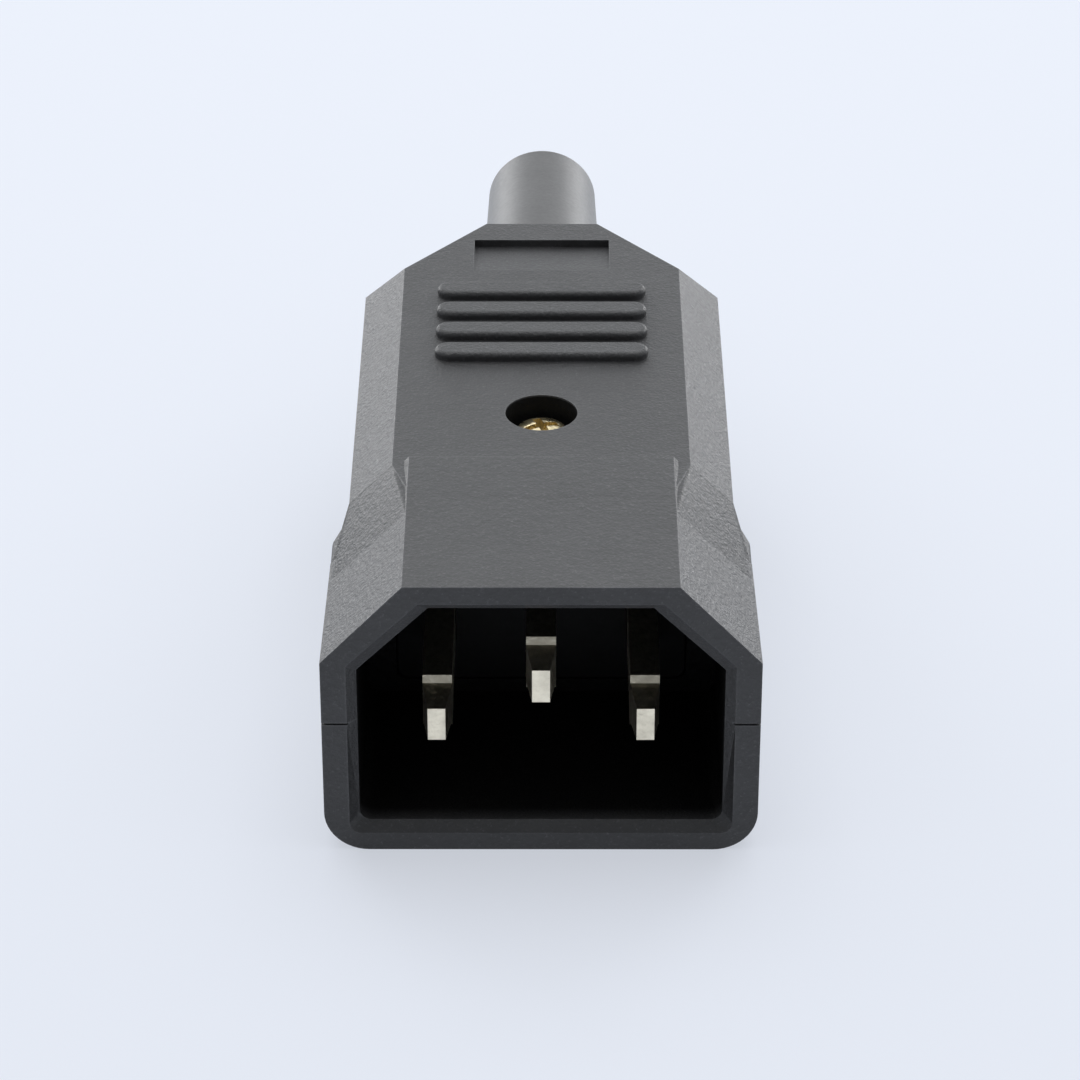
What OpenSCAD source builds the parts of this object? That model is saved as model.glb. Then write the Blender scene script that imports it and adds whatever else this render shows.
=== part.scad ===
// Rewirable inline power plug: a D-shaped shroud round three blade pins, moulded in two
// half shells that one screw holds together, with a rubber cable boot trapped at the back.
// +X is right, +Y runs back from the open shroud to the boot, +Z is up.
// The origin is the middle of the footprint, on the flat underside.

/* [Shroud] */
// Width of the cavity that the mating connector enters
cavity_w = 24.4; // [23.6:0.1:26]
// Height of that cavity
cavity_h = 16.77; // [16.2:0.1:18.4]
// Depth of the cavity, from the rim to its back wall
cavity_d = 16.5; // [15.5:0.1:18]
// Leg of the cavity's two keyed top corners
cavity_cut = 4.8; // [3.6:0.1:5.4]
// Thickness of the shroud's side walls
side_wall = 2.36; // [1.9:0.02:3]
// Thickness of the shroud's roof
roof_wall = 2.0; // [1.6:0.02:2.8]
// Thickness of the shroud's floor
floor_wall = 1.99; // [1.7:0.01:2.6]
// Leg of the lead-in bevel round the mouth
mouth_bevel = 0.67; // [0.2:0.01:1]
// Width of each outer top corner cut
front_cut_x = 5.5; // [4.6:0.1:6.2]
// Height of each outer top corner cut
front_cut_z = 5.88; // [5:0.1:6.6]
// Radius of the outer lower corners
front_foot_r = 3.0; // [1.5:0.1:3.6]
// Draft of each shroud side from the rim to the flare
front_draft = 0.2; // [0:0.05:0.4]

/* [Rear body] */
// Width of the rear body
rear_w = 26.4; // [25.6:0.1:27.6]
// Drop from the shroud's top to the rear body's top
top_step = 0.33; // [0.1:0.01:0.8]
// Distance from the rim to that drop
step_y = 17.05; // [16.8:0.05:17.8]
// Distance from the rim to the start of the flare between the two widths
flare_y = 12.2; // [9:0.1:14]
// Length of the flare
flare_l = 4.2; // [2.5:0.1:4.5]
// Leg of the bevel round the rear body's top
top_bevel = 3.0; // [2.4:0.1:3.2]
// Leg of the bevel round the rear body's foot
foot_bevel = 1.8; // [0.6:0.1:2.2]
// Distance from the rim to the start of the tapered tail, on the top face
tail_y = 45.7; // [44.5:0.1:47]
// Distance from the rim to the back edge of the top face
tail_end_y = 53.1; // [52.4:0.1:56]
// Width of the top face at its back edge
tail_w = 8.4; // [7.4:0.1:10]
// Wall of the rear body
rear_wall = 2.0; // [1.5:0.05:2.1]
// Thickness of the end wall round the boot
end_wall = 4.3; // [3.6:0.1:5]

/* [Parting line] */
// Height of the joint between the two half shells
split_z = 10.1; // [9.6:0.05:10.8]
// Height of the groove that marks the joint
seam_h = 0.16; // [0.08:0.02:0.4]
// Depth of that groove
seam_d = 0.18; // [0.06:0.02:0.3]

/* [Grip] */
// Number of grip ribs
rib_count = 4; // [2:1:5]
// Spacing of the ribs
rib_pitch = 3.13; // [2.6:0.01:3.3]
// Distance from the rim to the middle of the first rib
rib_y = 32.2; // [31:0.1:33]
// Length of a rib over its round ends
rib_l = 15.3; // [10:0.1:18]
// Width of a rib
rib_w = 2.0; // [1.2:0.1:2.4]
// Height of a rib
rib_h = 0.65; // [0.4:0.05:1]
// Radius of a rib's top edges
rib_edge_r = 0.35; // [0.1:0.05:0.38]
// Width of the thumb recess behind the ribs
thumb_w = 10.1; // [6:0.1:12]
// Distance from the rim to the shallow front edge of the thumb recess
thumb_y = 45.4; // [44.9:0.1:46.5]
// Length of the thumb recess
thumb_l = 5.0; // [3:0.1:6]
// Depth of the thumb recess at its back edge
thumb_d = 0.6; // [0.3:0.05:0.9]

/* [Pins] */
// Distance between the line and neutral pins
pin_pitch = 14.0; // [13.4:0.1:14.6]
// Height of the earth pin above the other two
earth_rise = 4.0; // [3.6:0.1:4.4]
// Thickness of a blade
blade_t = 2.0; // [1.6:0.1:2.3]
// Height of a blade
blade_h = 4.0; // [3.4:0.1:4.4]
// Distance from the rim to the line and neutral tips
tip_y = 2.6; // [1.8:0.1:4]
// Lead of the earth tip over the other two
earth_lead = 1.49; // [0.6:0.01:1.7]
// Thickness of a blade at its tip
tip_t = 1.2; // [0.8:0.1:1.5]
// Height of a blade at its tip
tip_h = 2.5; // [1.8:0.1:3]
// Height of a blade just before its shoulder
neck_h = 3.0; // [2.6:0.1:3.3]
// Length of the coined tip
tip_l = 2.75; // [1.5:0.05:3.5]

/* [Contact carrier] */
// Thickness of the frame in the shells that the carrier seats on
seat_t = 1.2; // [0.8:0.1:1.6]
// Thickness of the carrier's flange
flange_t = 2.0; // [1.4:0.1:2.6]
// Width of the rim by which the frame overlaps the flange
seat_lap = 0.85; // [0.5:0.05:1.2]

/* [Terminals] */
// Width of a terminal block
block_w = 5.6; // [4.8:0.1:5.8]
// Length of a terminal block
block_l = 8.0; // [7.4:0.1:8.6]
// Height of a terminal block
block_h = 5.8; // [5:0.1:6.2]
// Radius of the hole for the wire
wire_r = 1.5; // [1:0.1:1.8]
// Depth of the hole for the wire
wire_d = 6.5; // [5:0.1:6.8]
// Radius of a terminal screw
term_screw_r = 1.4; // [1:0.05:1.5]
// Radius of a terminal screw's head
term_head_r = 2.3; // [1.8:0.05:2.5]
// Height of a terminal screw's head
term_head_h = 1.7; // [1:0.1:2]
// Distance from the front of a line or neutral block to its screw
term_screw_y = 4.9; // [4.2:0.1:5.4]
// Thickness of the earth strap
strap_t = 1.2; // [0.8:0.1:1.6]
// Width of the earth strap
strap_w = 6.6; // [5.6:0.1:7.4]

/* [Cover screw] */
// Distance from the rim to the cover screw
screw_y = 23.8; // [23.6:0.1:24.4]
// Radius of the counterbore over the screw's head
counterbore_r = 2.53; // [2.2:0.01:2.8]
// Depth of the screw's head below the top face
head_sink = 0.95; // [0.3:0.05:1.4]
// Radius of the screw's head
cover_head_r = 1.72; // [1.5:0.01:2]
// Height of the screw's head
cover_head_h = 1.6; // [1.2:0.1:1.8]
// Radius of the screw's shank
cover_screw_r = 1.2; // [0.9:0.05:1.3]
// Length of the screw's shank
cover_screw_l = 16.0; // [15.8:0.1:16.4]
// Width of the nut across its flats
nut_af = 5.0; // [4.4:0.1:5.2]
// Thickness of the nut
nut_t = 2.0; // [1.6:0.1:2.2]
// Distance from the underside up to the nut
nut_sink = 1.6; // [1:0.1:2]
// Radius of the pillar in the upper shell
upper_pillar_r = 3.7; // [3.4:0.05:3.8]
// Radius of the pillar in the lower shell
lower_pillar_r = 3.9; // [3.6:0.05:4]

/* [Cord clamp] */
// Distance from the rim to the front of the clamp bar
clamp_y = 38.2; // [37.4:0.1:39.4]
// Length of the clamp bar along the cable
clamp_l = 5.0; // [3.6:0.1:5.6]
// Gap between each end of the clamp bar and the shell
clamp_gap = 0.9; // [0.5:0.05:1.2]
// Thickness of the clamp bar
clamp_t = 2.2; // [1.6:0.1:2.6]
// Distance from an end of the clamp bar to its screw
clamp_edge = 2.4; // [2.1:0.1:2.7]
// Radius of a clamp screw
clamp_screw_r = 1.25; // [0.9:0.05:1.4]
// Length of a clamp screw's shank
clamp_screw_l = 8.0; // [6:0.1:9]
// Radius of a clamp screw's head
clamp_head_r = 2.2; // [1.8:0.05:2.3]
// Height of a clamp screw's head
clamp_head_h = 1.6; // [1:0.1:2]

/* [Boot] */
// Radius of the cable that the boot takes
cable_r = 3.6; // [3:0.1:3.7]
// Height of the boot's axis
boot_z = 10.4; // [10.2:0.05:10.8]
// Radius of the boot where it leaves the shells
boot_r = 4.85; // [4.6:0.05:5.2]
// Radius of the boot at its free end
boot_tip_r = 4.35; // [4.1:0.05:4.6]
// Length of the boot outside the shells
boot_l = 22.0; // [12:0.5:35]
// Radius of the round at the free end's outer edge
boot_round = 0.5; // [0.1:0.05:0.5]
// Radius of the collar that the shells hold
collar_r = 6.2; // [5.6:0.05:6.3]
// Thickness of the collar
collar_t = 2.0; // [1.4:0.1:2.4]

/* [Clearances] */
// Gap between moulded pieces that fit into each other
fit_gap = 0.15; // [0.05:0.05:0.25]
// Gap round a blade in its slot and a screw in its hole
pin_gap = 0.06; // [0.02:0.02:0.12]

/* [Hidden] */
$fn = 64;
cut = 0.02;       // how far a cutting solid runs past a face
over = 1;         // how far it runs past a wall whose position changes
slice = 0.02;     // thickness of a hull's end slices
far = 60;         // longer than any cut through the body

shell_grey = "#39393b";
carrier_grey = "#2a2a2c";
blade_nickel = "#cfc9b4";
screw_brass = "#d8c592";
screw_steel = "#b9bbbf";
boot_grey = "#3d3e40";

// Shroud
front_w = cavity_w + 2 * side_wall;
front_h = floor_wall + cavity_h + roof_wall;
flare_w = front_w - 2 * front_draft;
flare_end_y = flare_y + flare_l;
cavity_foot_r = 0.8;
pin_z = floor_wall + cavity_h / 2;

// Rear body: its top face is an outline that the bevel widens downwards
rear_h = front_h - top_step;
top_half = rear_w / 2 - top_bevel;
back_y = tail_end_y + top_bevel;
inner_roof_z = rear_h - rear_wall;
inner_half = rear_w / 2 - rear_wall;
end_wall_y = back_y - end_wall;
overall_l = back_y + boot_l;

// Carrier
seat_back_y = cavity_d + seat_t;
contact_y = seat_back_y + flange_t;
flange_w = 2 * (inner_half - fit_gap);
flange_h = inner_roof_z - floor_wall - 2 * fit_gap;
flange_z = floor_wall + fit_gap;
flange_corner = 0.6;
window_cut = 3;
stop_rib_h = 1.5;
stop_rib_t = 1.2;

// Contacts
screw_bite = 0.3 * wire_r;
side_pin_z = pin_z - earth_rise / 2;
earth_pin_z = pin_z + earth_rise / 2;
strap_top_z = earth_pin_z + strap_t / 2;
strap_low_z = earth_pin_z - strap_t / 2;
earth_block_y = screw_y + upper_pillar_r + 2 * fit_gap;
shoulder_l = 0.25;
wire_end = block_l - wire_d;
screw_margin = 0.4;
earth_screw_y = wire_end + term_screw_r + screw_margin;
cradle_t = 1.2;
cradle_inset = 1.0;
hold_rib_t = 1.0;

// Cover screw
head_seat_z = rear_h - head_sink - cover_head_h;
nut_top_z = nut_sink + nut_t;
nut_pocket_af = nut_af + 2 * fit_gap;
nut_roof_t = 1.6;
shank_bore_r = cover_screw_r + fit_gap;
narrow_pillar_r = 2.6;

// Screw heads: radius of the crown and sizes of the recesses, as shares of the head's own
crown = 2.2;
cross_reach = 0.7;
cross_half = 0.16;
cross_floor = 0.45;
slot_half = 0.14;
slot_floor = 0.5;

// Pegs that register the two half shells
peg_r = 0.9;
peg_h = 2.0;
peg_boss_r = 2.0;
peg_sink = 0.2;
peg_clear = 1.6;
peg_x = inner_half - peg_boss_r + peg_sink;
peg_y = clamp_y - peg_boss_r - peg_clear;

// Cord clamp
clamp_w = 2 * (inner_half - clamp_gap);
clamp_pitch = clamp_w - 2 * clamp_edge;
bore_spare = 0.5;
clamp_bore_d = clamp_screw_l - clamp_t + bore_spare;
saddle_lip = 1;

// Boot
collar_y = end_wall_y - collar_t;
collar_rib_t = 1.4;
boot_hole_r = boot_r + fit_gap / 2;

// Outline of the rear body seen from above, grown by d from the edge of its top face.
// The tail's slanted edges keep their angle, so every bevel has one slope all the way round.
tail_run = [tail_w / 2 - top_half, tail_end_y - tail_y];
tail_normal = [tail_run.y, -tail_run.x] / norm(tail_run);
tail_reach = tail_normal * [top_half, tail_y];
function tail_side(d) = let (x = top_half + d) [x, (tail_reach + d - tail_normal.x * x) / tail_normal.y];
function tail_back(d) = let (y = tail_end_y + d) [(tail_reach + d - tail_normal.y * y) / tail_normal.x, y];
function mirrored(points) = [for (i = [len(points) - 1:-1:0]) [-points[i].x, points[i].y]];
function both_sides(points) = concat(points, mirrored(points));
function rear_plan(d, start) = both_sides([[top_half + d, start], tail_side(d), tail_back(d)]);
function full_plan(inset) = both_sides([
    [front_w / 2 - inset, inset], [flare_w / 2 - inset, flare_y], [rear_w / 2 - inset, flare_end_y],
    tail_side(top_bevel - inset), tail_back(top_bevel - inset)]);

// Places a piece modelled from the rim at y = 0, so that the origin is mid-length
module place() translate([0, -overall_l / 2, 0]) children();

// Stands a flat outline up in the XZ plane and runs it back from y by l
module run_back(y, l) translate([0, y + l, 0]) rotate([90, 0, 0]) linear_extrude(l) children();

// A round bar along Y
module bar_y(r, y, l, x = 0, z = 0) translate([x, y + l, z]) rotate([90, 0, 0]) cylinder(r = r, h = l);

// D outline: two cut top corners, two rounded lower corners
module d_outline(w, h, cut_x, cut_z, foot_r) {
    polygon(both_sides([[w / 2, foot_r], [w / 2, h - cut_z], [w / 2 - cut_x, h]]));
    translate([-w / 2 + foot_r, 0]) square([w - 2 * foot_r, foot_r + cut]);
    for (side = [-1, 1]) translate([side * (w / 2 - foot_r), foot_r]) circle(foot_r);
}

module front_outline(w) d_outline(w, front_h, front_cut_x, front_cut_z, front_foot_r);

module rear_section() polygon(both_sides([
    [rear_w / 2 - foot_bevel, 0], [rear_w / 2, foot_bevel],
    [rear_w / 2, rear_h - top_bevel], [top_half, rear_h]]));

module cavity_outline(grow = 0)
    translate([0, floor_wall - grow])
        d_outline(cavity_w + 2 * grow, cavity_h + 2 * grow, cavity_cut, cavity_cut, cavity_foot_r);

// The outside of both shells as one solid
module body_solid() {
    intersection() {
        run_back(0, flare_y) front_outline(front_w);
        linear_extrude(far) polygon(both_sides([[front_w / 2, 0], [flare_w / 2, flare_y]]));
    }
    hull() {
        run_back(flare_y - slice, slice) front_outline(flare_w);
        run_back(flare_end_y, slice) rear_section();
    }
    run_back(0, step_y) polygon(both_sides([
        [front_w / 2 - front_cut_x + front_cut_x / 2, front_h - front_cut_z / 2],
        [front_w / 2 - front_cut_x, front_h]]));
    hull() {
        linear_extrude(foot_bevel) polygon(rear_plan(top_bevel - foot_bevel, flare_end_y));
        translate([0, 0, foot_bevel])
            linear_extrude(rear_h - top_bevel - foot_bevel) polygon(rear_plan(top_bevel, flare_end_y));
        translate([0, 0, rear_h - top_bevel]) linear_extrude(top_bevel) polygon(rear_plan(0, flare_end_y));
    }
}

// The cavity, its lead-in, the window that the carrier shows through, and the rear chamber
module body_hollow() {
    run_back(-cut, cavity_d + cut) cavity_outline();
    hull() {
        run_back(-slice, slice) cavity_outline(mouth_bevel);
        run_back(mouth_bevel, slice) cavity_outline();
    }
    run_back(cavity_d - cut, seat_t + 2 * cut) carrier_window(0);
    translate([0, 0, floor_wall])
        linear_extrude(inner_roof_z - floor_wall) polygon(both_sides([
            [inner_half, seat_back_y], tail_side(top_bevel - rear_wall),
            [tail_side_x(end_wall_y), end_wall_y]]));
    bar_y(boot_hole_r, end_wall_y - cut, end_wall + 2 * cut, z = boot_z);
}
function tail_side_x(y) = (tail_reach + top_bevel - rear_wall - tail_normal.y * y) / tail_normal.x;

module carrier_window(gap)
    translate([0, flange_z + seat_lap + gap])
        d_outline(flange_w - 2 * (seat_lap + gap), flange_h - 2 * (seat_lap + gap),
                  window_cut, window_cut, cavity_foot_r);

module seam_groove()
    translate([0, 0, split_z - seam_h / 2]) linear_extrude(seam_h) difference() {
        translate([-far / 2, -far / 2]) square([far, 3 * far]);
        polygon(full_plan(seam_d));
    }

module above_split() translate([-far / 2, -far / 2, split_z]) cube([far, 3 * far, far]);
module below_split() translate([-far / 2, -far / 2, split_z - far]) cube([far, 3 * far, far]);

// A plain block from x, y, z, centred on x
module block(w, y, l, z, h, x = 0) translate([x - w / 2, y, z]) cube([w, l, h]);

module grip_rib(y) {
    flat_l = rib_l - rib_w;
    translate([-flat_l / 2, y, rear_h]) rotate([90, 0, 90]) linear_extrude(flat_l) rib_section();
    for (side = [-1, 1]) translate([side * flat_l / 2, y, rear_h])
        rotate_extrude() intersection() {
            rib_section();
            translate([0, -rib_h]) square([rib_w, 2 * rib_h]);
        }
}

module rib_section() {
    translate([-rib_w / 2, -rib_h / 2]) square([rib_w, 1.5 * rib_h - rib_edge_r]);
    translate([-rib_w / 2 + rib_edge_r, 0]) square([rib_w - 2 * rib_edge_r, rib_h]);
    for (side = [-1, 1]) translate([side * (rib_w / 2 - rib_edge_r), rib_h - rib_edge_r]) circle(rib_edge_r);
}

module thumb_recess() {
    translate([-thumb_w / 2, 0, 0]) rotate([90, 0, 90]) linear_extrude(thumb_w)
        polygon([[thumb_y, rear_h], [thumb_y, rear_h + rib_h], [thumb_y + thumb_l, rear_h + rib_h],
                 [thumb_y + thumb_l, rear_h - thumb_d]]);
}

// Half rings in both shells that keep the boot's collar against the end wall
module collar_rib() {
    difference() {
        block(2 * inner_half, collar_y - fit_gap - collar_rib_t, collar_rib_t, floor_wall - cut,
              inner_roof_z - floor_wall + 2 * cut);
        bar_y(boot_r + fit_gap, collar_y - collar_rib_t - over, collar_rib_t + 2 * over, z = boot_z);
    }
}

module upper_shell() color(shell_grey) place() difference() {
    union() {
        difference() {
            intersection() { body_solid(); above_split(); }
            body_hollow();
        }
        for (i = [0:rib_count - 1]) grip_rib(rib_y + i * rib_pitch);
        intersection() {
            union() {
                upper_supports();
                collar_rib();
            }
            body_solid();
            above_split();
        }
    }
    seam_groove();
    thumb_recess();
    translate([0, screw_y, head_seat_z]) cylinder(r = counterbore_r, h = far);
    translate([0, screw_y, 0]) cylinder(r = shank_bore_r, h = far);
    for (side = [-1, 1]) translate([side * peg_x, peg_y, split_z - cut])
        cylinder(r = peg_r + fit_gap, h = peg_h + 2 * fit_gap);
}

// What hangs from the upper shell's roof: the screw pillar, peg sockets and hold-down ribs
module upper_supports() {
    translate([0, screw_y, strap_top_z]) cylinder(r = upper_pillar_r, h = inner_roof_z - strap_top_z + cut);
    block(flange_w, contact_y + fit_gap, stop_rib_t, inner_roof_z - stop_rib_h, stop_rib_h + cut);
    block_top_z = side_pin_z + block_h / 2;
    earth_top_z = earth_pin_z + block_h / 2;
    for (side = [-1, 1]) {
        translate([side * peg_x, peg_y, split_z]) cylinder(r = peg_boss_r, h = inner_roof_z - split_z + cut);
        block(block_w - 2 * cradle_inset, contact_y + fit_gap, hold_rib_t, block_top_z + fit_gap,
              inner_roof_z - block_top_z - fit_gap + cut, x = side * pin_pitch / 2);
    }
    block(block_w - 2 * cradle_inset, earth_block_y + block_l - hold_rib_t, hold_rib_t,
          earth_top_z + fit_gap, inner_roof_z - earth_top_z - fit_gap + cut);
}

module lower_shell() color(shell_grey) place() difference() {
    union() {
        difference() {
            intersection() { body_solid(); below_split(); }
            body_hollow();
        }
        intersection() {
            union() {
                lower_supports();
                collar_rib();
            }
            body_solid();
            below_split();
        }
        for (side = [-1, 1]) translate([side * peg_x, peg_y, split_z - cut]) cylinder(r = peg_r, h = peg_h + cut);
    }
    seam_groove();
    translate([0, screw_y, 0]) cylinder(r = shank_bore_r, h = far);
    translate([0, screw_y, -cut]) rotate([0, 0, 30])
        cylinder(r = nut_pocket_af / 2 / cos(30), h = nut_top_z + cut, $fn = 6);
    for (side = [-1, 1]) translate([side * clamp_pitch / 2, clamp_y + clamp_l / 2, split_z - clamp_bore_d])
        cylinder(r = clamp_screw_r + pin_gap, h = clamp_bore_d + cut);
    bar_y(cable_r, clamp_y - over, clamp_l + 2 * over, z = boot_z);
}

// What stands on the lower shell's floor: the pillar over the nut, the cradles under the
// terminal blocks with their back stops, peg bosses, and the saddle under the cord clamp
module lower_supports() {
    base_z = floor_wall - cut;
    block_low_z = side_pin_z - block_h / 2;
    stop_z = side_pin_z - wire_r - fit_gap;
    translate([0, screw_y, base_z]) cylinder(r = lower_pillar_r, h = nut_top_z + nut_roof_t - base_z);
    translate([0, screw_y, base_z]) cylinder(r = narrow_pillar_r, h = strap_low_z - base_z);
    block(flange_w, contact_y + fit_gap, stop_rib_t, base_z, stop_rib_h);
    for (side = [-1, 1]) {
        x = side * pin_pitch / 2;
        for (y = [contact_y + cradle_inset, contact_y + block_l - cradle_inset - cradle_t])
            block(block_w - 2 * cradle_inset, y, cradle_t, base_z, block_low_z - base_z, x = x);
        block(block_w - 2 * cradle_inset, contact_y + block_l + fit_gap, cradle_t, base_z, stop_z - base_z, x = x);
        translate([side * peg_x, peg_y, base_z]) cylinder(r = peg_boss_r, h = split_z - base_z);
        translate([side * clamp_pitch / 2, 0, 0])
            block(clamp_w / 2 - cable_r - saddle_lip, clamp_y, clamp_l, base_z, split_z - base_z);
    }
    block(block_w - 2 * cradle_inset, earth_block_y + cradle_inset, cradle_t, base_z,
          earth_pin_z - block_h / 2 - base_z);
    block(block_w - 2 * cradle_inset, earth_block_y + block_l + fit_gap, cradle_t, base_z,
          earth_pin_z - wire_r - fit_gap - base_z);
    block(clamp_w, clamp_y + clamp_l / 2 - cradle_t, 2 * cradle_t, base_z, split_z - base_z);
}

// Insulating plate that closes the back of the cavity and spaces the three blades
module contact_carrier() color(carrier_grey) place() difference() {
    union() {
        run_back(seat_back_y, flange_t) translate([0, flange_z])
            d_outline(flange_w, flange_h, flange_corner, flange_corner, flange_corner);
        run_back(cavity_d, seat_t + cut) carrier_window(fit_gap);
    }
    slot_y = cavity_d - over;
    slot_l = contact_y - slot_y + over;
    for (side = [-1, 1]) block(blade_t + 2 * pin_gap, slot_y, slot_l, side_pin_z - blade_h / 2 - pin_gap,
                               blade_h + 2 * pin_gap, x = side * pin_pitch / 2);
    block(blade_t + 2 * pin_gap, slot_y, slot_l, earth_pin_z - blade_h / 2 - pin_gap, blade_h + 2 * pin_gap);
}

// One blade along Y from its tip, with a coined nose that steps up to the full height
module blade(y, z, end_y) {
    shoulder_y = y + tip_l;
    intersection() {
        linear_extrude(far) polygon(both_sides([[tip_t / 2, y], [blade_t / 2, shoulder_y], [blade_t / 2, end_y]]));
        translate([-far / 2, 0, z]) rotate([90, 0, 90]) linear_extrude(far) polygon([
            [y, -tip_h / 2], [y, tip_h / 2], [shoulder_y, neck_h / 2], [shoulder_y + shoulder_l, blade_h / 2],
            [end_y, blade_h / 2], [end_y, -blade_h / 2], [shoulder_y + shoulder_l, -blade_h / 2],
            [shoulder_y, -neck_h / 2]]);
    }
}

// A terminal block with its wire hole from the back and its screw hole from the top
module terminal_block(y, z, at) difference() {
    block(block_w, y, block_l, z - block_h / 2, block_h);
    bar_y(wire_r, y + wire_end, wire_d + cut, z = z);
    translate([0, y + at, z]) cylinder(r = term_screw_r + pin_gap, h = block_h);
}

module side_contact(side) color(blade_nickel) place() translate([side * pin_pitch / 2, 0, 0]) {
    blade(tip_y, side_pin_z, contact_y + cut);
    terminal_block(contact_y, side_pin_z, term_screw_y);
}
module line_contact() side_contact(1);
module neutral_contact() side_contact(-1);

// The earth blade runs on as a strap that the cover screw passes through
module earth_contact() color(blade_nickel) place() {
    blade(tip_y - earth_lead, earth_pin_z, contact_y);
    difference() {
        block(strap_w, contact_y, earth_block_y - contact_y + cut, strap_low_z, strap_t);
        translate([0, screw_y, 0]) cylinder(r = shank_bore_r, h = far);
    }
    block(blade_t, contact_y - cut, 2 * cut, earth_pin_z - strap_t / 2, strap_t);
    terminal_block(earth_block_y, earth_pin_z, earth_screw_y);
}

// A pan-head screw that hangs down from z = 0 under its head
module pan_screw(r, l, head_r, head_h) {
    translate([0, 0, -l]) cylinder(r = r, h = l + cut);
    intersection() {
        cylinder(r = head_r, h = head_h);
        translate([0, 0, head_h - crown * head_r]) sphere(r = crown * head_r);
    }
}

module cross_recess(head_r, head_h) for (turn = [0, 90])
    rotate([0, 0, turn]) translate([-cross_reach * head_r, -cross_half * head_r, cross_floor * head_h])
        cube([2 * cross_reach * head_r, 2 * cross_half * head_r, head_h]);

module terminal_screw(x, y, z) {
    reach = block_h / 2 + screw_bite;
    color(screw_steel) place() translate([x, y, z + block_h / 2]) difference() {
        pan_screw(term_screw_r, reach, term_head_r, term_head_h);
        translate([-term_head_r, -slot_half * term_head_r, slot_floor * term_head_h])
            cube([2 * term_head_r, 2 * slot_half * term_head_r, term_head_h]);
    }
}
module line_terminal_screw() terminal_screw(pin_pitch / 2, contact_y + term_screw_y, side_pin_z);
module neutral_terminal_screw() terminal_screw(-pin_pitch / 2, contact_y + term_screw_y, side_pin_z);
module earth_terminal_screw() terminal_screw(0, earth_block_y + earth_screw_y, earth_pin_z);

// Saddle that presses the cable onto the lower shell
module cord_clamp() color(boot_grey) place() difference() {
    run_back(clamp_y, clamp_l) difference() {
        union() {
            translate([-clamp_w / 2, split_z]) square([clamp_w, clamp_t]);
            intersection() {
                translate([0, boot_z]) circle(cable_r + clamp_t);
                translate([-clamp_w / 2, split_z]) square([clamp_w, far]);
            }
        }
        translate([0, boot_z]) circle(cable_r);
    }
    for (side = [-1, 1]) translate([side * clamp_pitch / 2, clamp_y + clamp_l / 2, 0])
        cylinder(r = clamp_screw_r + fit_gap, h = far);
}

module clamp_screw(side) color(screw_steel) place()
    translate([side * clamp_pitch / 2, clamp_y + clamp_l / 2, split_z + clamp_t]) difference() {
        pan_screw(clamp_screw_r, clamp_screw_l, clamp_head_r, clamp_head_h);
        cross_recess(clamp_head_r, clamp_head_h);
    }
module clamp_screw_left() clamp_screw(-1);
module clamp_screw_right() clamp_screw(1);

module cover_screw() color(screw_brass) place() translate([0, screw_y, head_seat_z]) difference() {
    pan_screw(cover_screw_r, cover_screw_l, cover_head_r, cover_head_h);
    rotate([0, 0, 20]) cross_recess(cover_head_r, cover_head_h);
}

module cover_nut() color(screw_brass) place() translate([0, screw_y, nut_sink]) difference() {
    rotate([0, 0, 30]) cylinder(r = nut_af / 2 / cos(30), h = nut_t, $fn = 6);
    translate([0, 0, -cut]) cylinder(r = cover_screw_r + pin_gap, h = nut_t + 2 * cut);
}

// Rubber sleeve: a collar inside the shells and a tapered tube outside
module cable_boot() color(boot_grey) place() translate([0, 0, boot_z]) rotate([-90, 0, 0]) rotate_extrude() {
    difference() {
        union() {
            polygon([[cable_r, collar_y], [collar_r, collar_y], [collar_r, end_wall_y], [boot_r, end_wall_y],
                     [boot_r, back_y], [boot_tip_r, overall_l - boot_round], [cable_r, overall_l - boot_round]]);
            translate([cable_r, overall_l - boot_round - cut])
                square([boot_tip_r - boot_round - cable_r, boot_round + cut]);
            translate([boot_tip_r - boot_round, overall_l - boot_round]) circle(boot_round);
        }
        translate([0, collar_y - over]) square([cable_r, overall_l]);
    }
}

upper_shell();
lower_shell();
contact_carrier();
line_contact();
neutral_contact();
earth_contact();
line_terminal_screw();
neutral_terminal_screw();
earth_terminal_screw();
cord_clamp();
clamp_screw_left();
clamp_screw_right();
cover_screw();
cover_nut();
cable_boot();
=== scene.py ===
"""Looks of a rewirable inline power plug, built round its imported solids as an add-on."""

import math

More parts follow.
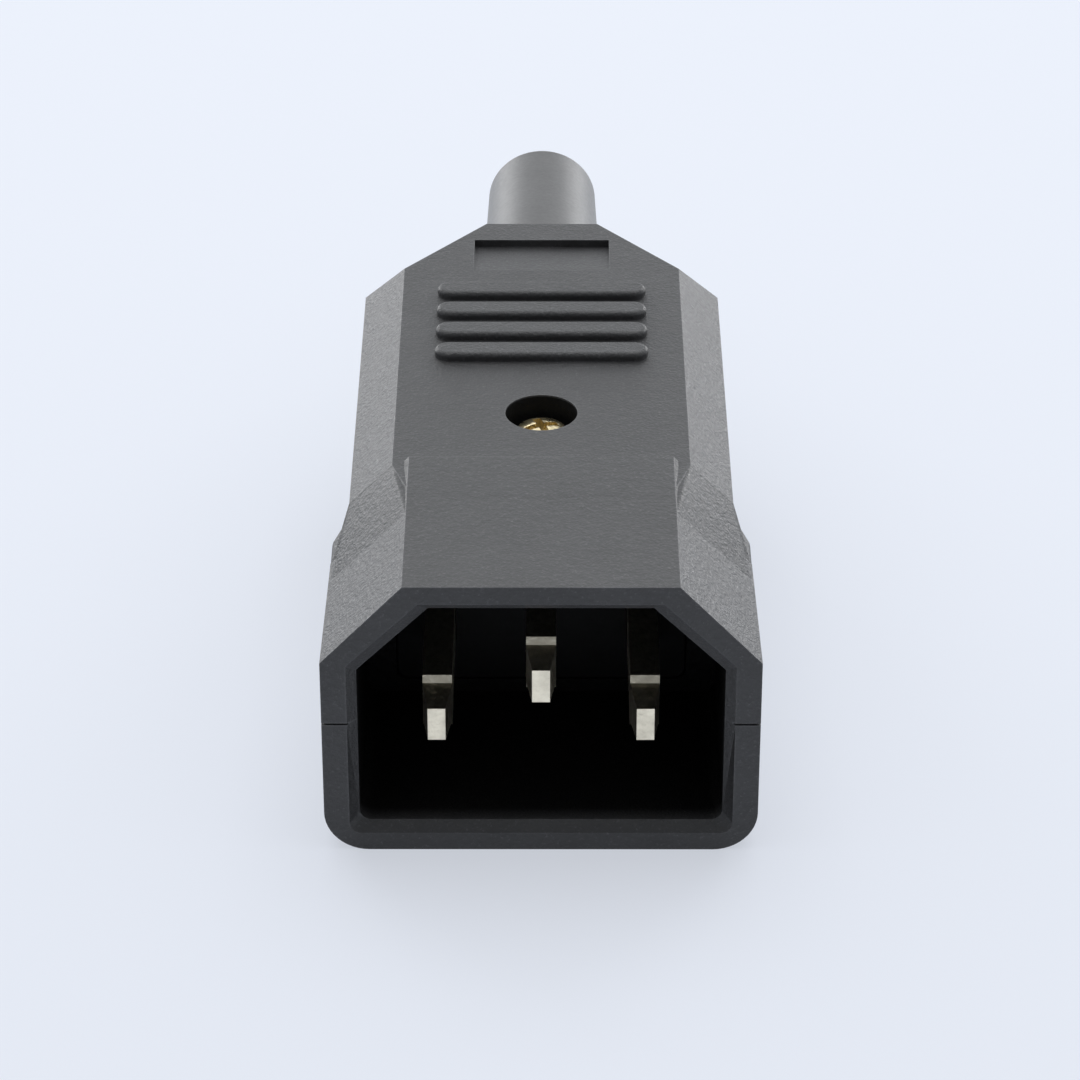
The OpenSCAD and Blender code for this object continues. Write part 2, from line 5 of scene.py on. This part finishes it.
import bmesh
import bpy
from bpy.props import FloatProperty, FloatVectorProperty, PointerProperty
from bpy.types import Operator, Panel, PropertyGroup
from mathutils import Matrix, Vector


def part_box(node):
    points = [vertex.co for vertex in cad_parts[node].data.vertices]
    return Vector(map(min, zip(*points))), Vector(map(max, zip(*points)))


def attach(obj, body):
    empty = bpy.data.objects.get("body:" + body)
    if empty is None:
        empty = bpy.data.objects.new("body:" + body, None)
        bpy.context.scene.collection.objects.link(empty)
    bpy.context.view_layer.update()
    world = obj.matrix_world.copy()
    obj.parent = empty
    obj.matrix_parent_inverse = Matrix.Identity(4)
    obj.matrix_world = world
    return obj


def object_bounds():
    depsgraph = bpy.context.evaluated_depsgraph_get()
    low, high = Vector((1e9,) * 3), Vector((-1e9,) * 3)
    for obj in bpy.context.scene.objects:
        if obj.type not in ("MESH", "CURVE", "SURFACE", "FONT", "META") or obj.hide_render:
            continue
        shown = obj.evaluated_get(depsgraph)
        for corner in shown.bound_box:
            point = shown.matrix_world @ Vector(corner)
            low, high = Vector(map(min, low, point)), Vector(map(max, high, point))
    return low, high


bl_info = {
    "name": "Rewirable Power Plug",
    "version": (1, 0, 0),
    "blender": (4, 5, 0),
    "location": "View3D > Sidebar > Plug",
    "description": "Finishes the shells, contacts, fixings and boot of an inline power plug",
    "category": "Object",
}

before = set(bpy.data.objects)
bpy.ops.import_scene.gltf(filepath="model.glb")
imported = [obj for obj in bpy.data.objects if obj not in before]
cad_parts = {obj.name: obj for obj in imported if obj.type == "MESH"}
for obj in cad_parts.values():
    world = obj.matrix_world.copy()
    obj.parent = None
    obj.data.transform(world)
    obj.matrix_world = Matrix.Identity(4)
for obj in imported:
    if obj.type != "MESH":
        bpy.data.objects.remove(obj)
LOW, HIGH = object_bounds()
MM = 0.001
BODY = "root"

EDGE_ANGLE = math.radians(28)   # edges sharper than this are rounded, and stay sharp in shading
FLAT_ANGLE = math.radians(0.5)  # faces of a skin that meet flatter than this become one
END_FACING = 0.95               # share of its normal along y that makes a face an end of a skin

# Sections of the body in millimetres: y from the rim, x from the middle, z from the underside
FRONT_HALF = 14.38
BLEND_Y, COLLAR_Y, FLARE_Y, REAR_START_Y, STEP_Y = 9.0, 11.5, 15.4, 16.4, 17.05
REAR_HALF = 13.2
TOP_Z, REAR_Z, SPLIT_Z = 20.77, 20.44, 10.1
CUT_X, CUT_Z, FOOT_R = 5.42, 5.88, 3.0
TOP_BEVEL, FOOT_BEVEL = 3.0, 1.8
SEAM_HALF = 0.08
BLEND_PROUD = 0.03
SKIN_WALL = 0.5
SPARE = 1

# Boxes that hold the inner faces of the shroud and of the counterbore, in the same millimetres; these faces
# get painted shade.
# The shroud's has no back, so the end wall behind the boot gets the painted shade too.
FADE_START, FADE_END = 0.6, 2.0
CAVITY_HALF, CAVITY_Z, CAVITY_HALF_Z = 12.5, 10.4, 8.7
CAVITY_CORNER = 27.6            # greatest sum of x and z under the keyed corners
BORE_HALF, BORE_Z, BORE_HALF_Z = 2.6, 10.0, 10.3

# Colours of the moulded plastic as shares of its own: bright grain specks, painted shade in the recesses,
# and painted highlight mixed with wear along the edges, with how far that reaches from an edge
SPECK_SHADE, RECESS_PAINTED_SHADE, EDGE_HIGHLIGHT_AND_WEAR = 2.4, 0.12, 3.2
EDGE_HIGHLIGHT_REACH = 0.16 * MM

SHELLS = ("upper_shell", "lower_shell")
CONTACTS = ("line_contact", "neutral_contact", "earth_contact")
PLATED_SCREWS = ("line_terminal_screw", "neutral_terminal_screw", "earth_terminal_screw",
                 "clamp_screw_left", "clamp_screw_right")


# Properties

class ShellSettings(PropertyGroup):
    """Finish of the two moulded half shells"""

    colour: FloatVectorProperty(
        name="Plastic", description="Colour of the moulded plastic",
        default=(0.035, 0.035, 0.0362), subtype="COLOR", min=0, max=1)
    roughness: FloatProperty(
        name="Roughness", description="How matt the moulded faces are",
        default=0.5, min=0.1, max=1, subtype="FACTOR")
    grain_size: FloatProperty(
        name="Grain size", description="Spacing of the spark-eroded grain",
        default=0.22 * MM, min=0.05 * MM, max=1 * MM, unit="LENGTH")
    grain_depth: FloatProperty(
        name="Grain depth", description="Height of the grain",
        default=0.065 * MM, min=0, max=0.1 * MM, unit="LENGTH")
    edge_round: FloatProperty(
        name="Edge round", description="Radius of the moulded edges",
        default=0.22 * MM, min=0, max=0.4 * MM, unit="LENGTH")


class MetalSettings(PropertyGroup):
    """Finish of the blades and the fixings"""

    nickel: FloatVectorProperty(
        name="Blade plating", description="Colour of the plated blades",
        default=(0.92, 0.86, 0.70), subtype="COLOR", min=0, max=1)
    brass: FloatVectorProperty(
        name="Cover screw", description="Colour of the bright cover screw and its nut",
        default=(0.83, 0.71, 0.45), subtype="COLOR", min=0, max=1)
    steel: FloatVectorProperty(
        name="Inner screws", description="Colour of the plated inner screws",
        default=(0.62, 0.62, 0.63), subtype="COLOR", min=0, max=1)
    edge_round: FloatProperty(
        name="Edge round", description="Radius of the blades' worn edges",
        default=0.1 * MM, min=0, max=0.2 * MM, unit="LENGTH")


class BootSettings(PropertyGroup):
    """Finish of the rubber boot"""

    colour: FloatVectorProperty(
        name="Rubber", description="Colour of the boot",
        default=(0.06, 0.06, 0.06), subtype="COLOR", min=0, max=1)
    roughness: FloatProperty(
        name="Roughness", description="How matt the rubber is",
        default=0.45, min=0.1, max=1, subtype="FACTOR")


class StageSettings(PropertyGroup):
    """Floor, light and camera"""

    floor_colour: FloatVectorProperty(
        name="Floor", description="Colour of the floor",
        default=(0.79, 0.825, 0.90), subtype="COLOR", min=0, max=1)
    camera_distance: FloatProperty(
        name="Camera distance", description="Distance from the rim back to the camera, along the floor",
        default=226.56 * MM, min=0.1, max=1, unit="LENGTH")
    camera_height: FloatProperty(
        name="Camera height", description="Height of the camera above the floor",
        default=160.76 * MM, min=0.05, max=1, unit="LENGTH")
    camera_tilt: FloatProperty(
        name="Camera tilt", description="Angle of the view below the horizon",
        default=math.radians(31.05), min=0, max=math.pi / 2, unit="ROTATION")
    camera_yaw: FloatProperty(
        name="Camera yaw", description="Turn of the view to the left",
        default=math.radians(0.073), min=-0.5, max=0.5, unit="ROTATION")
    camera_side: FloatProperty(
        name="Camera side", description="Place of the camera to the right of the middle",
        default=0.222 * MM, min=-0.1, max=0.1, unit="LENGTH")
    lens: FloatProperty(
        name="Lens", description="Focal length in millimetres on a 36 mm sensor",
        default=136.83, min=20, max=300)
    key_power: FloatProperty(
        name="Overhead light", description="Power of the large light over the plug, in watts",
        default=0.95, min=0, max=50)
    back_power: FloatProperty(
        name="Back lights", description="Power of each low light behind the plug, in watts",
        default=1.6, min=0, max=50)
    front_glow: FloatProperty(
        name="Front surroundings", description="Brightness of the surroundings in front of the shroud",
        default=0.22, min=0, max=2)
    back_glow: FloatProperty(
        name="Back surroundings", description="Brightness of the surroundings behind the boot",
        default=1.25, min=0, max=2)
    shadow_fill: FloatProperty(
        name="Shadow fill", description="Share of the floor's own glow, which thins the plug's shadow",
        default=0.6, min=0, max=1, subtype="FACTOR")


# Shader helpers

def new_material(name):
    """An empty node material with its shader and output."""
    material = bpy.data.materials.new(name)
    material.use_nodes = True
    return material, material.node_tree.nodes["Principled BSDF"]


def add_node(material, kind, **values):
    """Adds a shader node; values go to sockets by name, or to the node's own settings."""
    node = material.node_tree.nodes.new(kind)
    for key, value in values.items():
        if key in node.inputs:
            node.inputs[key].default_value = value
        else:
            setattr(node, key, value)
    return node


def link(material, source, target):
    """Joins an output socket to an input socket."""
    material.node_tree.links.new(source, target)


def object_noise(material, scale, detail=2.0, roughness=0.5):
    """Noise in the object's own metres, so that its size is the same on every piece."""
    place = add_node(material, "ShaderNodeTexCoord")
    noise = add_node(material, "ShaderNodeTexNoise", Scale=scale, Detail=detail, Roughness=roughness)
    link(material, place.outputs["Object"], noise.inputs["Vector"])
    return noise


def ramp(material, source, stops):
    """A colour ramp; stops are (place, colour or grey)."""
    node = add_node(material, "ShaderNodeValToRGB")
    while len(node.color_ramp.elements) < len(stops):
        node.color_ramp.elements.new(0.5)
    for element, (place, value) in zip(node.color_ramp.elements, stops):
        element.position = place
        element.color = (*value, 1) if hasattr(value, "__len__") else (value, value, value, 1)
    link(material, source, node.inputs["Fac"])
    return node


def calculate(material, operation, *values):
    """A maths node; each value is a socket or a number."""
    node = add_node(material, "ShaderNodeMath", operation=operation)
    for place, value in enumerate(values):
        if isinstance(value, bpy.types.NodeSocket):
            link(material, value, node.inputs[place])
        else:
            node.inputs[place].default_value = value
    return node.outputs["Value"]


def bump(material, shader, height, distance, under=None):
    """Raises a shader's surface by a height, on top of the bump given as under."""
    node = add_node(material, "ShaderNodeBump", Distance=distance)
    link(material, height, node.inputs["Height"])
    if under:
        link(material, under.outputs["Normal"], node.inputs["Normal"])
    link(material, node.outputs["Normal"], shader.inputs["Normal"])
    return node


def shade(colour, factor):
    """A colour made darker or lighter by a factor."""
    return tuple(min(1.0, c * factor) for c in colour)


# Materials

def moulded_plastic(settings):
    """Black nylon from a spark-eroded mould: fine grain with bright specks, painted shade in the recesses
    and painted highlight mixed with wear along the edges.
    """
    material, shader = new_material("moulded_plastic")
    shader.inputs["IOR"].default_value = 1.5
    grain = object_noise(material, scale=1 / settings.grain_size, detail=3.0, roughness=0.6)
    cloud = object_noise(material, scale=300, detail=3.0)
    tint = ramp(material, cloud.outputs["Fac"], [(0.3, shade(settings.colour, 0.9)),
                                                (0.7, shade(settings.colour, 1.12))])
    specks = ramp(material, grain.outputs["Fac"], [(0.60, 0.0), (0.78, 1.0)])
    mix = add_node(material, "ShaderNodeMix", data_type="RGBA")
    mix.inputs["B"].default_value = (*shade(settings.colour, SPECK_SHADE), 1)
    link(material, specks.outputs["Color"], mix.inputs["Factor"])
    link(material, tint.outputs["Color"], mix.inputs["A"])
    # Painted shade: the cavity, the counterbore and the end wall are darkened to a small share of the colour
    # and lose shine
    recess_shade = painted_shade_mask(material)
    dim = add_node(material, "ShaderNodeMix", data_type="RGBA")
    dim.inputs["B"].default_value = (*shade(settings.colour, RECESS_PAINTED_SHADE), 1)
    link(material, recess_shade, dim.inputs["Factor"])
    # Painted highlight mixed with wear: the colour is lightened along every edge, in uneven patches
    worn = add_node(material, "ShaderNodeMix", data_type="RGBA")
    worn.inputs["B"].default_value = (*shade(settings.colour, EDGE_HIGHLIGHT_AND_WEAR), 1)
    edges = edge_mask(material, EDGE_HIGHLIGHT_REACH)
    uneven = ramp(material, cloud.outputs["Fac"], [(0.35, 0.25), (0.6, 1.0)])
    highlight_and_wear = calculate(material, "MULTIPLY", edges, uneven.outputs["Color"])
    link(material, highlight_and_wear, worn.inputs["Factor"])
    link(material, mix.outputs["Result"], worn.inputs["A"])
    link(material, worn.outputs["Result"], dim.inputs["A"])
    link(material, dim.outputs["Result"], shader.inputs["Base Color"])
    shine = add_node(material, "ShaderNodeMapRange")
    shine.inputs["To Min"].default_value = 0.55
    shine.inputs["To Max"].default_value = 0.2
    link(material, recess_shade, shine.inputs["Value"])
    link(material, shine.outputs["Result"], shader.inputs["Specular IOR Level"])
    matt = ramp(material, grain.outputs["Fac"],
                [(0.3, settings.roughness * 1.1), (0.7, settings.roughness * 0.85)])
    link(material, matt.outputs["Color"], shader.inputs["Roughness"])
    coarse = object_noise(material, scale=0.35 / settings.grain_size)
    low = bump(material, shader, coarse.outputs["Fac"], settings.grain_depth)
    bump(material, shader, grain.outputs["Fac"], settings.grain_depth, under=low)
    return material


def painted_shade_mask(material):
    """Mask of painted shade: white in the shroud's cavity, in the counterbore and on the end wall, black
    elsewhere.
    """
    place = add_node(material, "ShaderNodeNewGeometry")
    split = add_node(material, "ShaderNodeSeparateXYZ")
    link(material, place.outputs["Position"], split.inputs["Vector"])
    across, along, height = split.outputs["X"], split.outputs["Y"], split.outputs["Z"]
    side = calculate(material, "ABSOLUTE", across)
    deep = add_node(material, "ShaderNodeMapRange")
    deep.inputs["From Min"].default_value = LOW.y + FADE_START * MM
    deep.inputs["From Max"].default_value = LOW.y + FADE_END * MM
    link(material, along, deep.inputs["Value"])
    mask = deep.outputs["Result"]
    corner = calculate(material, "ADD", side, height)
    for inside in (calculate(material, "COMPARE", across, 0.0, CAVITY_HALF * MM),
                   calculate(material, "COMPARE", height, CAVITY_Z * MM, CAVITY_HALF_Z * MM),
                   calculate(material, "LESS_THAN", corner, CAVITY_CORNER * MM)):
        mask = calculate(material, "MULTIPLY", mask, inside)
    low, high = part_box("cover_screw")
    bore = calculate(material, "COMPARE", along, (low.y + high.y) / 2, BORE_HALF * MM)
    for inside in (calculate(material, "COMPARE", across, 0.0, BORE_HALF * MM),
                   calculate(material, "COMPARE", height, BORE_Z * MM, BORE_HALF_Z * MM)):
        bore = calculate(material, "MULTIPLY", bore, inside)
    return calculate(material, "MAXIMUM", mask, bore)


def edge_mask(material, radius):
    """White along the edges, from how far the rounded normal leans away from the face's own."""
    rounded = add_node(material, "ShaderNodeBevel", Radius=radius, samples=4)
    face = add_node(material, "ShaderNodeNewGeometry")
    lean = add_node(material, "ShaderNodeVectorMath", operation="DOT_PRODUCT")
    link(material, rounded.outputs["Normal"], lean.inputs[0])
    link(material, face.outputs["Normal"], lean.inputs[1])
    return ramp(material, lean.outputs["Value"], [(0.90, 1.0), (0.985, 0.0)]).outputs["Color"]


def plated_metal(name, colour, roughness):
    """Plated metal with a little unevenness and duller worn patches."""
    material, shader = new_material(name)
    shader.inputs["Metallic"].default_value = 1.0
    patch = object_noise(material, scale=900, detail=4.0)
    tint = ramp(material, patch.outputs["Fac"], [(0.35, shade(colour, 0.825)), (0.6, colour)])
    link(material, tint.outputs["Color"], shader.inputs["Base Color"])
    dull = ramp(material, patch.outputs["Fac"], [(0.3, roughness * 1.5), (0.65, roughness)])
    link(material, dull.outputs["Color"], shader.inputs["Roughness"])
    dent = object_noise(material, scale=1600, detail=3.0)
    bump(material, shader, dent.outputs["Fac"], 0.14 * MM)
    return material


def boot_rubber(settings):
    """Matt rubber with faint mould bloom."""
    material, shader = new_material("boot_rubber")
    bloom = object_noise(material, scale=500, detail=4.0)
    tint = ramp(material, bloom.outputs["Fac"],
                [(0.3, shade(settings.colour, 0.9)), (0.7, shade(settings.colour, 1.15))])
    link(material, tint.outputs["Color"], shader.inputs["Base Color"])
    grain = object_noise(material, scale=3500, detail=3.0)
    matt = ramp(material, grain.outputs["Fac"], [(0.3, settings.roughness), (0.7, settings.roughness * 1.2)])
    link(material, matt.outputs["Color"], shader.inputs["Roughness"])
    shader.inputs["Sheen Weight"].default_value = 0.3
    shader.inputs["Sheen Roughness"].default_value = 0.4
    bump(material, shader, grain.outputs["Fac"], 0.01 * MM)
    return material


def inner_plastic(name, colour, shine=0.5):
    """Plain moulded plastic of the pieces inside."""
    material, shader = new_material(name)
    shader.inputs["Specular IOR Level"].default_value = shine
    cloud = object_noise(material, scale=700, detail=3.0)
    tint = ramp(material, cloud.outputs["Fac"], [(0.3, shade(colour, 0.85)), (0.7, shade(colour, 1.2))])
    link(material, tint.outputs["Color"], shader.inputs["Base Color"])
    grain = object_noise(material, scale=4000)
    matt = ramp(material, grain.outputs["Fac"], [(0.3, 0.5), (0.7, 0.6)])
    link(material, matt.outputs["Color"], shader.inputs["Roughness"])
    bump(material, shader, grain.outputs["Fac"], 0.01 * MM)
    return material


def floor_paint(stage):
    """Pale matt floor that glows a little to the eye, so that the plug's shadow stays thin."""
    material, shader = new_material("floor_paint")
    shader.inputs["Base Color"].default_value = (*stage.floor_colour, 1)
    shader.inputs["Roughness"].default_value = 0.9
    shader.inputs["Specular IOR Level"].default_value = 0.1
    glow = add_node(material, "ShaderNodeEmission", Strength=1.0)
    glow.inputs["Color"].default_value = (*stage.floor_colour, 1)
    path = add_node(material, "ShaderNodeLightPath")
    seen = path.outputs["Is Camera Ray"]
    for ray in ("Is Glossy Ray", "Is Transmission Ray"):
        seen = calculate(material, "MAXIMUM", seen, path.outputs[ray])
    share = calculate(material, "MULTIPLY", seen, stage.shadow_fill)
    mix = add_node(material, "ShaderNodeMixShader")
    link(material, share, mix.inputs["Fac"])
    link(material, shader.outputs["BSDF"], mix.inputs[1])
    link(material, glow.outputs["Emission"], mix.inputs[2])
    output = material.node_tree.nodes["Material Output"]
    link(material, mix.outputs["Shader"], output.inputs["Surface"])
    return material


# Mesh helpers

def round_edges(piece, width, segments=2):
    """Rounds a piece's sharp edges."""
    rounding = piece.modifiers.new("round_edges", "BEVEL")
    rounding.width = width
    rounding.segments = segments
    rounding.limit_method = "ANGLE"
    rounding.angle_limit = EDGE_ANGLE
    return rounding


def finish_node(name, material, edge_round=0.0, segments=2):
    """Gives a CAD node its material and, where it has worn or moulded edges, rounds them."""
    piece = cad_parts[name]
    piece.data.materials.clear()
    piece.data.materials.append(material)
    if edge_round:
        weld = piece.modifiers.new("join_faces", "WELD")
        weld.merge_threshold = 0.001 * MM
        rounding = round_edges(piece, edge_round, segments)
        rounding.miter_outer = "MITER_ARC"


def rounded_foot(half, radius, steps=8):
    """Points of a lower right corner, from the underside up to the side."""
    turns = (math.pi / 2 * step / steps for step in range(steps + 1))
    return [(half - radius + radius * math.sin(turn), radius - radius * math.cos(turn)) for turn in turns]


def front_section(y, half, clip=None):
    """Right half of the shroud's section at y, cut off at x = clip where that is given."""
    slope = CUT_Z / CUT_X
    points = rounded_foot(half, FOOT_R) + [(half, TOP_Z - CUT_Z), (half - CUT_X, TOP_Z)]
    if clip is not None:
        side_z = TOP_Z - CUT_Z + (half - clip) * slope
        low = next(z for x, z in points if x >= clip)
        points = [(x, z) for x, z in points if x <= clip] + [(clip, low), (clip, side_z)]
    return [(x, y, z) for x, z in points]


def rear_section(y):
    """Right half of the rear body's section at y."""
    return [(REAR_HALF - FOOT_BEVEL, y, 0), (REAR_HALF, y, FOOT_BEVEL),
            (REAR_HALF, y, REAR_Z - TOP_BEVEL), (REAR_HALF - TOP_BEVEL, y, REAR_Z)]


def skin(name, sections, low_z, high_z):
    """An open skin over the hull of some sections, between two heights above the floor."""
    mesh = bmesh.new()
    for section in sections:
        for x, y, z in section:
            for side in (-1, 1):
                mesh.verts.new((side * x * MM, LOW.y + y * MM, LOW.z + z * MM))
    hull = bmesh.ops.convex_hull(mesh, input=mesh.verts)
    unused = [item for item in hull["geom_interior"] if isinstance(item, bmesh.types.BMVert)]
    bmesh.ops.delete(mesh, geom=unused, context="VERTS")
    bmesh.ops.dissolve_limit(mesh, angle_limit=FLAT_ANGLE, verts=mesh.verts, edges=mesh.edges)
    for height, normal in ((low_z, (0, 0, -1)), (high_z, (0, 0, 1))):
        bmesh.ops.bisect_plane(mesh, geom=mesh.verts[:] + mesh.edges[:] + mesh.faces[:], dist=1e-7,
                               plane_co=(0, 0, LOW.z + height * MM), plane_no=normal, clear_outer=True)
    mesh.normal_update()
    ends = [face for face in mesh.faces if abs(face.normal.y) > END_FACING]
    bmesh.ops.delete(mesh, geom=ends, context="FACES")
    data = bpy.data.meshes.new(name)
    mesh.to_mesh(data)
    mesh.free()
    data.shade_smooth()
    data.set_sharp_from_angle(angle=EDGE_ANGLE)
    piece = bpy.data.objects.new(name, data)
    bpy.context.scene.collection.objects.link(piece)
    return piece


# Operators

class PLUG_OT_camera(Operator):
    """Places the camera in front of the plug, looking down into the shroud"""

    bl_idname = "plug.camera"
    bl_label = "Camera"

    def execute(self, context):
        stage = context.scene.plug_stage
        data = bpy.data.cameras.new("plug_camera")
        data.lens = stage.lens
        data.sensor_width = 36
        data.clip_start = 0.01
        camera = bpy.data.objects.new("plug_camera", data)
        context.scene.collection.objects.link(camera)
        camera.location = (stage.camera_side, LOW.y - stage.camera_distance, LOW.z + stage.camera_height)
        camera.rotation_euler = (math.pi / 2 - stage.camera_tilt, 0, stage.camera_yaw)
        context.scene.camera = camera
        return {"FINISHED"}


class PLUG_OT_stage(Operator):
    """Makes the floor, the lights and the surroundings"""

    bl_idname = "plug.stage"
    bl_label = "Stage"

    def execute(self, context):
        stage = context.scene.plug_stage
        self.floor(context, stage)
        self.lights(context, stage)
        self.surroundings(context, stage)
        context.scene.view_settings.view_transform = "Standard"
        return {"FINISHED"}

    def floor(self, context, stage):
        reach = 3.0
        mesh = bpy.data.meshes.new("floor")
        corners = [(-reach, -reach, 0), (reach, -reach, 0), (reach, reach, 0), (-reach, reach, 0)]
        mesh.from_pydata(corners, [], [(0, 1, 2, 3)])
        floor = bpy.data.objects.new("floor", mesh)
        floor.location.z = LOW.z
        context.scene.collection.objects.link(floor)
        mesh.materials.append(floor_paint(stage))

    def lights(self, context, stage):
        """A large light overhead and a low one behind each side, which the bevels catch."""
        middle = Vector((0, (LOW.y + HIGH.y) / 2, HIGH.z / 2))
        rows = [    # name, place from the middle of the plug, width, watts
            ("over", (0, 0.10, 0.50), 0.45, stage.key_power),
            ("back_left", (-0.38, 0.55, 0.12), 0.30, stage.back_power),
            ("back_right", (0.38, 0.55, 0.12), 0.30, stage.back_power),
        ]
        for name, place, size, power in rows:
            data = bpy.data.lights.new("light_" + name, "AREA")
            data.shape = "SQUARE"
            data.size = size
            data.energy = power
            lamp = bpy.data.objects.new("light_" + name, data)
            context.scene.collection.objects.link(lamp)
            lamp.location = middle + Vector(place)
            lamp.rotation_euler = (-Vector(place)).to_track_quat("-Z", "Y").to_euler()

    def surroundings(self, context, stage):
        """Soft surroundings, dark in front of the shroud and bright behind the boot."""
        world = bpy.data.worlds.new("surroundings")
        context.scene.world = world
        world.use_nodes = True
        tree = world.node_tree
        sky = tree.nodes["Background"]
        sky.inputs["Color"].default_value = (0.93, 0.96, 1.0, 1)
        place = tree.nodes.new("ShaderNodeTexCoord")
        split = tree.nodes.new("ShaderNodeSeparateXYZ")
        glow = tree.nodes.new("ShaderNodeMapRange")
        glow.interpolation_type = "SMOOTHSTEP"
        for key, value in (("From Min", -1), ("From Max", 1),
                           ("To Min", stage.front_glow), ("To Max", stage.back_glow)):
            glow.inputs[key].default_value = value
        tree.links.new(place.outputs["Generated"], split.inputs["Vector"])
        tree.links.new(split.outputs["Y"], glow.inputs["Value"])
        tree.links.new(glow.outputs["Result"], sky.inputs["Strength"])


class PLUG_OT_shells(Operator):
    """Finishes the two moulded half shells"""

    bl_idname = "plug.shells"
    bl_label = "Half shells"

    def execute(self, context):
        settings = context.scene.plug_shells
        plastic = moulded_plastic(settings)
        for name in SHELLS:
            finish_node(name, plastic, settings.edge_round)
        return {"FINISHED"}


class PLUG_OT_collar(Operator):
    """Carries the shroud's outline back to the step, where it turns into the rear body"""

    bl_idname = "plug.collar"
    bl_label = "Shroud collar"

    def execute(self, context):
        settings = context.scene.plug_shells
        plastic = bpy.data.materials["moulded_plastic"]
        forms = {
            "collar": [front_section(COLLAR_Y, FRONT_HALF), front_section(FLARE_Y, FRONT_HALF),
                       front_section(STEP_Y, FRONT_HALF, REAR_HALF)],
            "blend": [front_section(BLEND_Y, FRONT_HALF + BLEND_PROUD), rear_section(REAR_START_Y)],
        }
        halves = {"upper": (SPLIT_Z + SEAM_HALF, TOP_Z + SPARE),
                  "lower": (-SPARE, SPLIT_Z - SEAM_HALF)}
        for half, (low_z, high_z) in halves.items():
            for form, sections in forms.items():
                piece = skin(f"{half}_{form}", sections, low_z, high_z)
                piece.data.materials.append(plastic)
                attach(piece, BODY)
                wall = piece.modifiers.new("wall", "SOLIDIFY")
                wall.thickness = SKIN_WALL * MM
                wall.offset = -1
                round_edges(piece, settings.edge_round)
                flat = piece.modifiers.new("flat_faces", "WEIGHTED_NORMAL")
                flat.weight = 100
        return {"FINISHED"}


class PLUG_OT_inner(Operator):
    """Finishes the contact carrier and the cord clamp"""

    bl_idname = "plug.inner"
    bl_label = "Carrier and clamp"

    def execute(self, context):
        # The carrier's near-black colour is its own black plastic, darkened further by painted shade of the
        # deep cavity
        finish_node("contact_carrier", inner_plastic("carrier_plastic", (0.005, 0.005, 0.0055), 0.2),
                    0.1 * MM)
        finish_node("cord_clamp", inner_plastic("clamp_plastic", (0.045, 0.045, 0.047)),
                    0.2 * MM)
        return {"FINISHED"}


class PLUG_OT_contacts(Operator):
    """Finishes the three plated contacts"""

    bl_idname = "plug.contacts"
    bl_label = "Contacts"

    def execute(self, context):
        settings = context.scene.plug_metal
        plating = plated_metal("plated_blade", settings.nickel, 0.28)
        for name in CONTACTS:
            finish_node(name, plating, settings.edge_round, 3)
        return {"FINISHED"}


class PLUG_OT_fixings(Operator):
    """Finishes the cover screw, its nut and the inner screws"""

    bl_idname = "plug.fixings"
    bl_label = "Screws and nut"

    def execute(self, context):
        settings = context.scene.plug_metal
        brass = plated_metal("bright_brass", settings.brass, 0.25)
        steel = plated_metal("plated_steel", settings.steel, 0.35)
        for name in ("cover_screw", "cover_nut"):
            finish_node(name, brass, 0.08 * MM)
        for name in PLATED_SCREWS:
            finish_node(name, steel, 0.08 * MM)
        return {"FINISHED"}


class PLUG_OT_boot(Operator):
    """Finishes the rubber boot"""

    bl_idname = "plug.boot"
    bl_label = "Boot"

    def execute(self, context):
        finish_node("cable_boot", boot_rubber(context.scene.plug_boot))
        return {"FINISHED"}


class PLUG_PT_sidebar(Panel):
    """Lists the plug's pieces and their settings"""

    bl_label = "Power Plug"
    bl_idname = "PLUG_PT_sidebar"
    bl_space_type = "VIEW_3D"
    bl_region_type = "UI"
    bl_category = "Plug"

    def draw(self, context):
        layout = self.layout
        for operator in STEPS:
            layout.operator(operator.bl_idname)
        for group in GROUPS:
            box = layout.box()
            settings = getattr(context.scene, group)
            for key in settings.bl_rna.properties.keys():
                if key not in ("rna_type", "name"):
                    box.prop(settings, key)


STEPS = (PLUG_OT_camera, PLUG_OT_stage, PLUG_OT_shells, PLUG_OT_collar, PLUG_OT_inner,
         PLUG_OT_contacts, PLUG_OT_fixings, PLUG_OT_boot)
GROUPS = {
    "plug_shells": ShellSettings,
    "plug_metal": MetalSettings,
    "plug_boot": BootSettings,
    "plug_stage": StageSettings,
}


def register():
    for group in GROUPS.values():
        bpy.utils.register_class(group)
    for step in STEPS:
        bpy.utils.register_class(step)
    bpy.utils.register_class(PLUG_PT_sidebar)
    for name, group in GROUPS.items():
        setattr(bpy.types.Scene, name, PointerProperty(type=group))


def unregister():
    for name in GROUPS:
        delattr(bpy.types.Scene, name)
    bpy.utils.unregister_class(PLUG_PT_sidebar)
    for step in reversed(STEPS):
        bpy.utils.unregister_class(step)
    for group in reversed(list(GROUPS.values())):
        bpy.utils.unregister_class(group)


def main():
    """Runs every step in order."""
    register()
    bpy.ops.plug.camera()
    bpy.ops.plug.stage()
    bpy.ops.plug.shells()
    bpy.ops.plug.collar()
    bpy.ops.plug.inner()
    bpy.ops.plug.contacts()
    bpy.ops.plug.fixings()
    bpy.ops.plug.boot()


if __name__ == "__main__":
    main()
